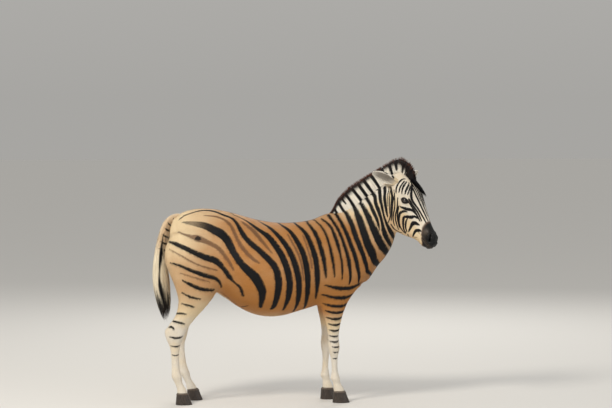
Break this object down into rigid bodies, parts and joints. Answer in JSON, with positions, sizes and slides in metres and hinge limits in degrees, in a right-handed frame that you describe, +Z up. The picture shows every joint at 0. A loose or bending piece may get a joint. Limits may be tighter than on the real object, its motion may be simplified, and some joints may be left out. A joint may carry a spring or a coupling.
{
  "type": "zebra",
  "caption": "Plains zebra mare standing at ease with her head turned to one side, black stripes and brown shadow stripes on a cream and tan coat, upright mane",
  "frame": {"origin": "Under the middle of the bounding box, on the floor", "axes": "+X towards the front of the body, +Y towards her left side, +Z up"},
  "size_m": [1.8808, 0.6045, 1.6428],
  "materials": {
    "coat": "short flat hair, cream and tan with near-black stripes",
    "ear_fur": "soft short hair with dark bands",
    "mane_hair": "stiff upright hair, banded near-black, brown and white",
    "tail_hair": "long hanging hair, cream with a dark tip",
    "eye": "wet, dark brown",
    "hoof": "dark horn"
  },
  "bodies": {
    "root": {"barrel": "coat", "hindquarters": "coat", "shoulders": "coat", "neck": "coat", "head": "coat", "right_hind_upper_leg": "coat", "right_hind_lower_leg": "coat", "left_hind_upper_leg": "coat", "left_hind_lower_leg": "coat", "right_fore_upper_leg": "coat", "right_fore_lower_leg": "coat", "left_fore_upper_leg": "coat", "left_fore_lower_leg": "coat", "right_ear": "ear_fur", "left_ear": "ear_fur", "mane": "mane_hair", "tail_dock": "tail_hair", "tail_switch": "tail_hair", "right_eye": "eye", "left_eye": "eye", "right_hind_hoof": "hoof", "left_hind_hoof": "hoof", "right_fore_hoof": "hoof", "left_fore_hoof": "hoof"}
  },
  "joints": []
}
